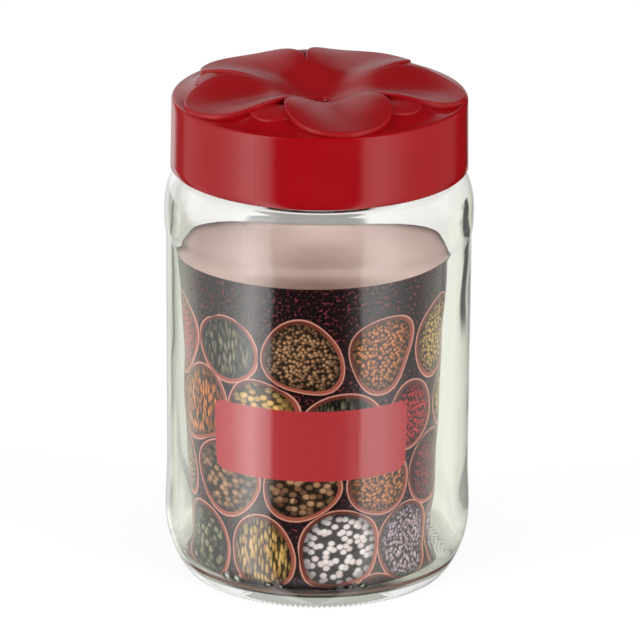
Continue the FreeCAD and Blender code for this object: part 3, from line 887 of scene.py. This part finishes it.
def dish_rows(tree, place, start):
    """Distance and offset from the nearest dish of every other row, and that dish's number."""
    pitch = (DISH_PITCH_MM, DISH_PITCH_MM * math.sqrt(3), 1)
    cells = vector_calc(tree, "ADD", vector_calc(tree, "DIVIDE", place, pitch), start)
    number = vector_calc(tree, "FLOOR", cells)
    inside_cell = vector_calc(tree, "SUBTRACT", cells, number)
    from_middle = vector_calc(tree, "SUBTRACT", inside_cell, (0.5, 0.5, 0))
    offset = vector_calc(tree, "MULTIPLY", from_middle, pitch)
    away = vector_calc(tree, "LENGTH", offset, output="Value")
    return away, offset, vector_calc(tree, "ADD", number, start)


def dish_cells(tree, place):
    """How far out in its dish a point lies (1 at the rim), the dish's random values, and its lit side."""
    place = bent_rows(tree, place)
    odd_away, odd_offset, odd_number = dish_rows(tree, place, (0.0, 0.0, 0.0))
    even_away, even_offset, even_number = dish_rows(tree, place, (0.5, 0.5, 0.0))
    is_even = calc(tree, "LESS_THAN", even_away, odd_away)
    offset = blend(tree, is_even, odd_offset, even_offset)
    number = blend(tree, is_even, odd_number, even_number)
    chance = add_node(tree, "ShaderNodeTexWhiteNoise", {"Vector": number}, noise_dimensions="3D")
    pick = add_node(tree, "ShaderNodeSeparateColor", {0: chance.outputs["Color"]})
    smallest = DISH_RADIUS_SHARE * SMALLEST_DISH_SHARE
    radius = ramp_between(tree, pick.outputs[2], 0.0, 1.0, smallest, DISH_RADIUS_SHARE)
    radius = calc(tree, "MULTIPLY", radius, DISH_PITCH_MM)
    out = calc(tree, "DIVIDE", calc(tree, "MINIMUM", odd_away, even_away), radius)
    centre = add_node(tree, "ShaderNodeSeparateXYZ", {0: vector_calc(tree, "SUBTRACT", place, offset)})
    left_out = calc(tree, "GREATER_THAN", centre.outputs[1], DISH_TOP_MM + DISH_DROP_MM)
    out = calc(tree, "ADD", out, left_out)
    lit = vector_calc(tree, "DOT_PRODUCT", offset, LIT_SIDE, "Value")
    return out, pick, lit


print("dish pitch", DISH_PITCH_MM, "mm")

# %% Label field
MM_PER_METRE = 1000.0
LABEL_TURN = -0.3
LABEL_BOTTOM = 0.0382
LABEL_TOP = 0.0595
LABEL_WIDTH_MM = 59.5
LABEL_CORNER_MM = 3.5
LABEL_SOFT_MM = 0.1


def label_mask(tree, place):
    """1 inside the rounded label field and 0 outside."""
    across = (FRONT_DEGREES + LABEL_TURN - SHEET_SEAM_ANGLE) / SHEET_TURN
    centre_mm = across * sheet_width * MM_PER_METRE
    middle_mm = ((LABEL_TOP + LABEL_BOTTOM) / 2 - sheet_bottom) * MM_PER_METRE
    half_width = LABEL_WIDTH_MM / 2 - LABEL_CORNER_MM
    half_height = (LABEL_TOP - LABEL_BOTTOM) / 2 * MM_PER_METRE - LABEL_CORNER_MM
    from_middle = vector_calc(tree, "SUBTRACT", place, (centre_mm, middle_mm, 0))
    aside = vector_calc(tree, "ABSOLUTE", from_middle)
    beyond = vector_calc(tree, "SUBTRACT", aside, (half_width, half_height, 0))
    away = vector_calc(tree, "LENGTH", vector_calc(tree, "MAXIMUM", beyond), output="Value")
    return ramp_between(tree, away, LABEL_CORNER_MM - LABEL_SOFT_MM, LABEL_CORNER_MM + LABEL_SOFT_MM, 1, 0)


print("label field", LABEL_WIDTH_MM, "by", round((LABEL_TOP - LABEL_BOTTOM) * MM_PER_METRE, 1), "mm")

# %% [markdown]
# ## The printed sheet: finish
# From its middle outwards a dish is filling, clay wall, pale lip and then ground, so one distance drives all
# the edges. The filling darkens towards the wall, and the wall is lighter on one side, which makes the dishes
# look hollow. Outside, the paper has the sheen of a coated print. Inside it is bare, so the rolled sheet gets
# two materials.

# %% Printed paper
FILL_EDGE = 0.87
LIP_EDGE = 0.955
GROUND_EDGE = (0.985, 1.0)
EDGE_SOFT = 0.01
FILL_SHADOW_START = 0.6
FILL_SHADOW_LEVEL = 0.3
WALL_LIGHT = (0.6, -0.6, 0.15, 1.0)
CRUMB_LIMITS = (0.54, 0.72)
FIBRE_LIMITS = (0.3, 0.7)
PRINT_FIBRES = 2.5
PRINT_ROUGHNESS = (0.22, 0.28)


def dish_wall(tree, out, lit):
    """The clay of a dish, lighter on its lit side, with a pale lip."""
    clay = blend(tree, ramp_between(tree, lit, *WALL_LIGHT), CLAY_DARK, CLAY_WALL)
    lip = ramp_between(tree, out, LIP_EDGE - EDGE_SOFT, LIP_EDGE + EDGE_SOFT)
    return blend(tree, lip, clay, CLAY_LIP)


def dark_ground(tree, place):
    """The dark ground between the dishes, strewn with crumbs."""
    crumbs = add_node(tree, "ShaderNodeTexNoise", {"Vector": place, "Scale": 1.0, "Detail": 4.0})
    return blend(tree, ramp_between(tree, crumbs.outputs["Fac"], *CRUMB_LIMITS), GROUND, CRUMBS)


def printed_paper():
    """The outside of the sheet."""
    material, tree, shader = new_material("printed_paper")
    print_map = add_node(tree, "ShaderNodeUVMap", uv_map="print_map").outputs[0]
    flat_size = (sheet_width * MM_PER_METRE, sheet_height * MM_PER_METRE, 1)
    place = vector_calc(tree, "MULTIPLY", print_map, flat_size)
    out, pick, lit = dish_cells(tree, place)
    in_shadow = ramp_between(tree, out, FILL_SHADOW_START, FILL_EDGE, 1.0, FILL_SHADOW_LEVEL)
    spice = blend(tree, 1.0, spice_fill(tree, place, pick), in_shadow, "MULTIPLY")
    past_fill = ramp_between(tree, out, FILL_EDGE - EDGE_SOFT, FILL_EDGE + EDGE_SOFT)
    picture = blend(tree, past_fill, spice, dish_wall(tree, out, lit))
    picture = blend(tree, ramp_between(tree, out, *GROUND_EDGE), picture, dark_ground(tree, place))
    picture = blend(tree, label_mask(tree, place), picture, LABEL_RED)
    tree.links.new(picture, shader.inputs["Base Color"])
    fibre = add_node(tree, "ShaderNodeTexNoise", {"Vector": place, "Scale": PRINT_FIBRES, "Detail": 4.0})
    rough = ramp_between(tree, fibre.outputs["Fac"], *FIBRE_LIMITS, *PRINT_ROUGHNESS)
    tree.links.new(rough, shader.inputs["Roughness"])
    return material


print_finish = printed_paper()
print("print nodes", len(print_finish.node_tree.nodes))

# %% Bare paper, and the finished sheet
PAPER_DULL = (0.90, 0.72, 0.66, 1)
PAPER_PALE = (0.95, 0.78, 0.72, 1)
PAPER_FIBRES = 900.0
PAPER_ROUGHNESS = (0.55, 0.7)


def bare_paper():
    """The unprinted inside of the sheet, a warm pale card with faint fibres."""
    material, tree, shader = new_material("bare_paper")
    place = add_node(tree, "ShaderNodeTexCoord").outputs["Object"]
    fibre = add_node(tree, "ShaderNodeTexNoise", {"Vector": place, "Scale": PAPER_FIBRES, "Detail": 4.0})
    tree.links.new(blend(tree, fibre.outputs["Fac"], PAPER_DULL, PAPER_PALE), shader.inputs["Base Color"])
    rough = ramp_between(tree, fibre.outputs["Fac"], *FIBRE_LIMITS, *PAPER_ROUGHNESS)
    tree.links.new(rough, shader.inputs["Roughness"])
    return material


paper_sides = [print_finish, bare_paper()]
make_piece("print_roll", sheet, paper_sides, "jar", "print_sleeve")

# %% [markdown]
# ## Studio: the light tent
# Glossy and clear things are lit in a white tent: pale walls all round, with an opening at the front for
# the camera. The tent could be built from glowing planes, but then its reflections would move with every
# change of place. Here it is painted into the world by direction alone. The walls end a little above the
# horizon, so the upright skirt shows them and the flat top of the lid stays deep red. Dark stretches
# between the walls give the glass its edges. What is seen through glass towards the back is plain white,
# and diffuse light comes evenly from everywhere.

# %% Walls and roof of the tent
TENT_DARK = 0.02
TENT_WALL_TOP = (0.2, 0.34)
TENT_SIDE_RISE = 1.2
TENT_STOPS = (
    (-180, 0.65), (-168, 0.65), (-158, 1.0), (-151, 1.0), (-145, 0.08), (-131, 0.08), (-127, 0.5),
    (-112, 0.55), (-97, 0.55), (-84, 0.7), (-72, 1.05), (-62, 1.8), (-53, 2.5), (-44, 1.6), (-37, 1.2),
    (-35.5, TENT_DARK), (32, TENT_DARK), (34, 1.1), (41, 1.3), (51, 1.4), (61, 0.95), (72, 0.55), (83, 0.42),
    (96, 0.33), (110, 0.3), (127, 0.22), (132, TENT_DARK), (162, TENT_DARK), (169, 0.65),
)


def tent_walls(tree, parts):
    """Brightness of the tent's walls in a direction."""
    azimuth = calc(tree, "ARCTAN2", parts.outputs[0], calc(tree, "MULTIPLY", parts.outputs[1], -1.0))
    turn = calc(tree, "MULTIPLY_ADD", azimuth, 1 / math.tau, 0.5)
    walls = add_node(tree, "ShaderNodeValToRGB", {0: turn})
    stops = walls.color_ramp.elements
    while len(stops) < len(TENT_STOPS):
        stops.new(0.5)
    for number, (angle, level) in enumerate(TENT_STOPS):
        stops[number].position = angle / 360 + 0.5
        stops[number].color = (level, level, level, 1)
    return walls.outputs["Color"]


def roof_share(tree, parts):
    """1 above the tent's walls and 0 below; the walls rise towards the sides."""
    aside = calc(tree, "ABSOLUTE", parts.outputs[0])
    height = calc(tree, "MULTIPLY_ADD", aside, -TENT_SIDE_RISE, parts.outputs[2])
    return ramp_between(tree, height, *TENT_WALL_TOP)


print("tent stops", len(TENT_STOPS))

# %% World as a light tent
WHITE = (1, 1, 1, 1)
ROOF_IN_GLASS = 0.35
DIFFUSE_LIGHT = (0.42, 0.42, 0.42, 1)
TRAPPED_COLOUR = (0.48, 0.5, 0.45, 1)
FRONT_LIMITS = (0.2, 0.45)


def front_share(tree, backward):
    """1 towards the front and 0 towards the back, from a direction's share along +Y."""
    return ramp_between(tree, backward, *FRONT_LIMITS, 1.0, 0.0)


def light_tent():
    """A world that is white to the camera, even for diffuse light, and a tent for gloss and glass."""
    world = bpy.data.worlds.new("light_tent")
    world.use_nodes = True
    tree = world.node_tree
    direction = add_node(tree, "ShaderNodeTexCoord").outputs["Generated"]
    parts = add_node(tree, "ShaderNodeSeparateXYZ", {0: direction})
    path = add_node(tree, "ShaderNodeLightPath")
    through = path.outputs["Is Transmission Ray"]
    walls = tent_walls(tree, parts)
    walls_in_glass = blend(tree, front_share(tree, parts.outputs[1]), WHITE, walls)
    walls = blend(tree, through, walls, walls_in_glass)
    roof = ramp_between(tree, through, 0.0, 1.0, TENT_DARK, ROOF_IN_GLASS)
    tent = blend(tree, roof_share(tree, parts), walls, roof)
    by_gloss = calc(tree, "MAXIMUM", path.outputs["Is Glossy Ray"], through)
    level = blend(tree, by_gloss, DIFFUSE_LIGHT, tent)
    level = blend(tree, is_trapped(tree, path), level, TRAPPED_COLOUR)
    level = blend(tree, path.outputs["Is Camera Ray"], level, WHITE)
    tree.links.new(level, tree.nodes["Background"].inputs["Color"])
    return world


bpy.context.scene.world = light_tent()
print("world", bpy.context.scene.world.name)

# %% [markdown]
# ## Studio: lamps
# The even light of the world leaves a round thing flat. Two wide lamps, one at each side, model the lid and
# light the inside of the sheet through the shoulder of the glass. They stand low, because the lid shades what
# comes from above. They stay out of sight in gloss and glass, where the tent already shows.

# %% Two soft lamps
LAMP_WIDTH = 0.9
LAMP_HEIGHT = 0.5
LAMP_DISTANCE = 1.8
LAMP_ELEVATION = math.radians(23)
LAMP_LEVEL = 0.57
LAMP_ANGLES = (-62, 57)


def soft_lamp(angle):
    """A wide lamp, angle degrees round from the front, that gives a white surface facing it LAMP_LEVEL."""
    lamp = bpy.data.lights.new("soft_lamp", "AREA")
    lamp.shape = "RECTANGLE"
    lamp.size = LAMP_WIDTH
    lamp.size_y = LAMP_HEIGHT
    lamp.energy = LAMP_LEVEL * (math.pi * LAMP_DISTANCE) ** 2
    turn = math.radians(angle)
    flat = math.cos(LAMP_ELEVATION)
    direction = Vector((math.sin(turn) * flat, -math.cos(turn) * flat, math.sin(LAMP_ELEVATION)))
    soft = bpy.data.objects.new("soft_lamp", lamp)
    soft.location = direction * LAMP_DISTANCE
    soft.rotation_euler = (math.pi / 2 - LAMP_ELEVATION, 0, turn)
    soft.visible_camera = False
    soft.visible_glossy = False
    soft.visible_transmission = False
    bpy.context.scene.collection.objects.link(soft)
    return soft


lamps = [soft_lamp(angle) for angle in LAMP_ANGLES]
print("lamps", len(lamps), "power", round(lamps[0].data.energy, 2), "W each")

# %% [markdown]
# ## Studio: floor
# The floor is a wide pale disc that glows just enough to be white in the picture and still take the jar's
# shadow. Through the glass it is shown in its own way: white, with darker cards behind the jar at both
# sides and a painted shade under its base, as the thick edges of a jar gather them. Mirrored rays, and
# those that the glass throws to the front, pass through the floor, so that the tent alone makes the
# reflections.

# %% What the glass shows of the floor
FAR_CARD = (0.19, 0.25)
RIGHT_CARD = (0.53, 0.72, 0.03)
LEFT_CARD = (-0.75, -0.27, 0.05)
LEFT_LINE = (-0.68, -0.60, 0.02)
LEFT_CARD_SHARE = 0.38
LEFT_LINE_SHARE = 0.75
CARD_DEPTH = 0.96
STRIP = (-0.034, 0.022, 0.004)
STRIP_FAR = (0.35, 0.42)
STRIP_LEVEL = 0.42
# Painted shade under the jar: darkest in the middle, paler at the sides, fading out past the bearing ring.
UNDER_JAR_SHADE_LEVEL = 0.04
UNDER_SIDES_SHADE_LEVEL = 0.62
SIDES_LIMITS = (0.55, 0.85)
CONTACT_SHADE_START = 1.05 * BEARING_RADIUS
CONTACT_SHADE_END = 0.058
EDGE_LIMITS = (0.2, 0.4)
EDGE_GREEN = (0.97, 1.0, 0.87, 1)


def window(tree, value, start, end, soft):
    """1 between start and end and 0 outside, with soft edges."""
    opening = ramp_between(tree, value, start - soft, start + soft)
    return calc(tree, "MULTIPLY", opening, ramp_between(tree, value, end + soft, end - soft))


def cards_behind(tree, side, away):
    """How much of the white the dark cards take, by the side on which a place lies."""
    right = calc(tree, "MULTIPLY", ramp_between(tree, away, *FAR_CARD), window(tree, side, *RIGHT_CARD))
    left = calc(tree, "MULTIPLY", LEFT_CARD_SHARE, window(tree, side, *LEFT_CARD))
    line = calc(tree, "MULTIPLY", LEFT_LINE_SHARE, window(tree, side, *LEFT_LINE))
    darkest = calc(tree, "MAXIMUM", calc(tree, "MAXIMUM", left, line), right)
    return calc(tree, "MULTIPLY", CARD_DEPTH, darkest)


def floor_in_glass(tree, parts, away):
    """Colour of the floor as seen through the glass, with a painted shade under the jar."""
    side = calc(tree, "DIVIDE", parts.outputs[0], away)
    aside = calc(tree, "ABSOLUTE", side)
    white = calc(tree, "SUBTRACT", 1.0, cards_behind(tree, side, away))
    strip = window(tree, parts.outputs[0], *STRIP)
    strip = calc(tree, "MULTIPLY", strip, ramp_between(tree, away, *STRIP_FAR))
    white = calc(tree, "MINIMUM", white, ramp_between(tree, strip, 0.0, 1.0, 1.0, STRIP_LEVEL))
    # The shade under the jar is painted: the glow that the glass shows is turned down near its base.
    under = ramp_between(tree, aside, *SIDES_LIMITS, UNDER_JAR_SHADE_LEVEL, UNDER_SIDES_SHADE_LEVEL)
    painted_contact_shade = ramp_between(tree, away, CONTACT_SHADE_START, CONTACT_SHADE_END, under, 1.0)
    tint = blend(tree, ramp_between(tree, aside, *EDGE_LIMITS), WHITE, EDGE_GREEN)
    return blend(tree, 1.0, tint, calc(tree, "MULTIPLY", white, painted_contact_shade), "MULTIPLY")


print("shade under the jar ends at", CONTACT_SHADE_END)

# %% Floor
FLOOR_RADIUS = 4.0
FLOOR_SEGMENTS = 96
FLOOR_DROP = 0.0002
FLOOR_GLOW = 0.84
FLOOR_PALE = (0.8, 0.8, 0.8, 1)
FLOOR_SHADE = (0.24, 0.24, 0.24, 1)
FRONT_OPENING = (0.055, 0.085)


def floor_surface():
    """Pale for light, white for the camera, painted for the glass and open for mirrored rays."""
    material, tree, shader = new_material("studio_floor")
    tree.nodes.remove(shader)
    place = add_node(tree, "ShaderNodeTexCoord").outputs["Object"]
    parts = add_node(tree, "ShaderNodeSeparateXYZ", {0: place})
    away = vector_calc(tree, "LENGTH", place, output="Value")
    path = add_node(tree, "ShaderNodeLightPath")
    through = path.outputs["Is Transmission Ray"]
    pale = add_node(tree, "ShaderNodeBsdfDiffuse", {"Color": FLOOR_PALE})
    shade = add_node(tree, "ShaderNodeBsdfDiffuse", {"Color": FLOOR_SHADE})
    glow = add_node(tree, "ShaderNodeEmission", {"Strength": FLOOR_GLOW})
    white = add_node(tree, "ShaderNodeAddShader", {0: shade.outputs[0], 1: glow.outputs[0]})
    in_glass = add_node(tree, "ShaderNodeEmission", {"Color": floor_in_glass(tree, parts, away)})
    clear = add_node(tree, "ShaderNodeBsdfTransparent")
    seen = mix_shaders(tree, path.outputs["Is Camera Ray"], pale.outputs[0], white.outputs[0])
    seen = mix_shaders(tree, through, seen, in_glass.outputs[0])
    front = front_share(tree, calc(tree, "DIVIDE", parts.outputs[1], away))
    front = calc(tree, "MULTIPLY", front, ramp_between(tree, away, *FRONT_OPENING))
    mirrored = calc(tree, "SUBTRACT", path.outputs["Is Glossy Ray"], through)
    open_share = calc(tree, "MAXIMUM", mirrored, calc(tree, "MULTIPLY", front, through))
    surface = mix_shaders(tree, open_share, seen, clear.outputs[0])
    tree.links.new(surface, tree.nodes["Material Output"].inputs["Surface"])
    return material


def studio_floor():
    """A wide disc just under the jar."""
    bm = bmesh.new()
    bmesh.ops.create_circle(bm, cap_ends=True, segments=FLOOR_SEGMENTS, radius=FLOOR_RADIUS)
    bmesh.ops.translate(bm, verts=bm.verts, vec=(0, 0, -FLOOR_DROP))
    mesh = bpy.data.meshes.new("studio_floor")
    bm.to_mesh(mesh)
    bm.free()
    mesh.materials.append(floor_surface())
    floor = bpy.data.objects.new("studio_floor", mesh)
    bpy.context.scene.collection.objects.link(floor)


studio_floor()
print("floor radius", FLOOR_RADIUS)

# %% [markdown]
# ## Studio: camera
# The camera stands a little above the jar and far off, with a long lens, so upright edges stay nearly
# parallel. Its height, tilt, roll and shift were fitted to the outlines of the lid and the base. The lens
# is written in pixels of the square frame, as that fit gives it.

# %% Camera
CAMERA_DISTANCE = 1.4
CAMERA_ELEVATION = math.radians(19.54)
CAMERA_ROLL = math.radians(0.37)
CAMERA_TARGET = Vector((0, 0, 0.0732))
SENSOR_MM = 36.0
FOCAL_PIXELS = 4888.0
FRAME_PIXELS = 640.0
AXIS_PIXEL = 318.4

lens = bpy.data.cameras.new("camera")
lens.sensor_width = SENSOR_MM
lens.lens = SENSOR_MM * FOCAL_PIXELS / FRAME_PIXELS
lens.shift_x = (FRAME_PIXELS / 2 - AXIS_PIXEL) / FRAME_PIXELS
camera = bpy.data.objects.new("camera", lens)
bpy.context.scene.collection.objects.link(camera)
back_off = Vector((0, -math.cos(CAMERA_ELEVATION), math.sin(CAMERA_ELEVATION))) * CAMERA_DISTANCE
camera.location = CAMERA_TARGET + back_off
tilt = Matrix.Rotation(math.pi / 2 - CAMERA_ELEVATION, 3, "X") @ Matrix.Rotation(CAMERA_ROLL, 3, "Z")
camera.rotation_euler = tilt.to_euler()
bpy.context.scene.camera = camera
bpy.context.scene.view_settings.view_transform = "Standard"
print("lens", round(lens.lens, 1), "mm")
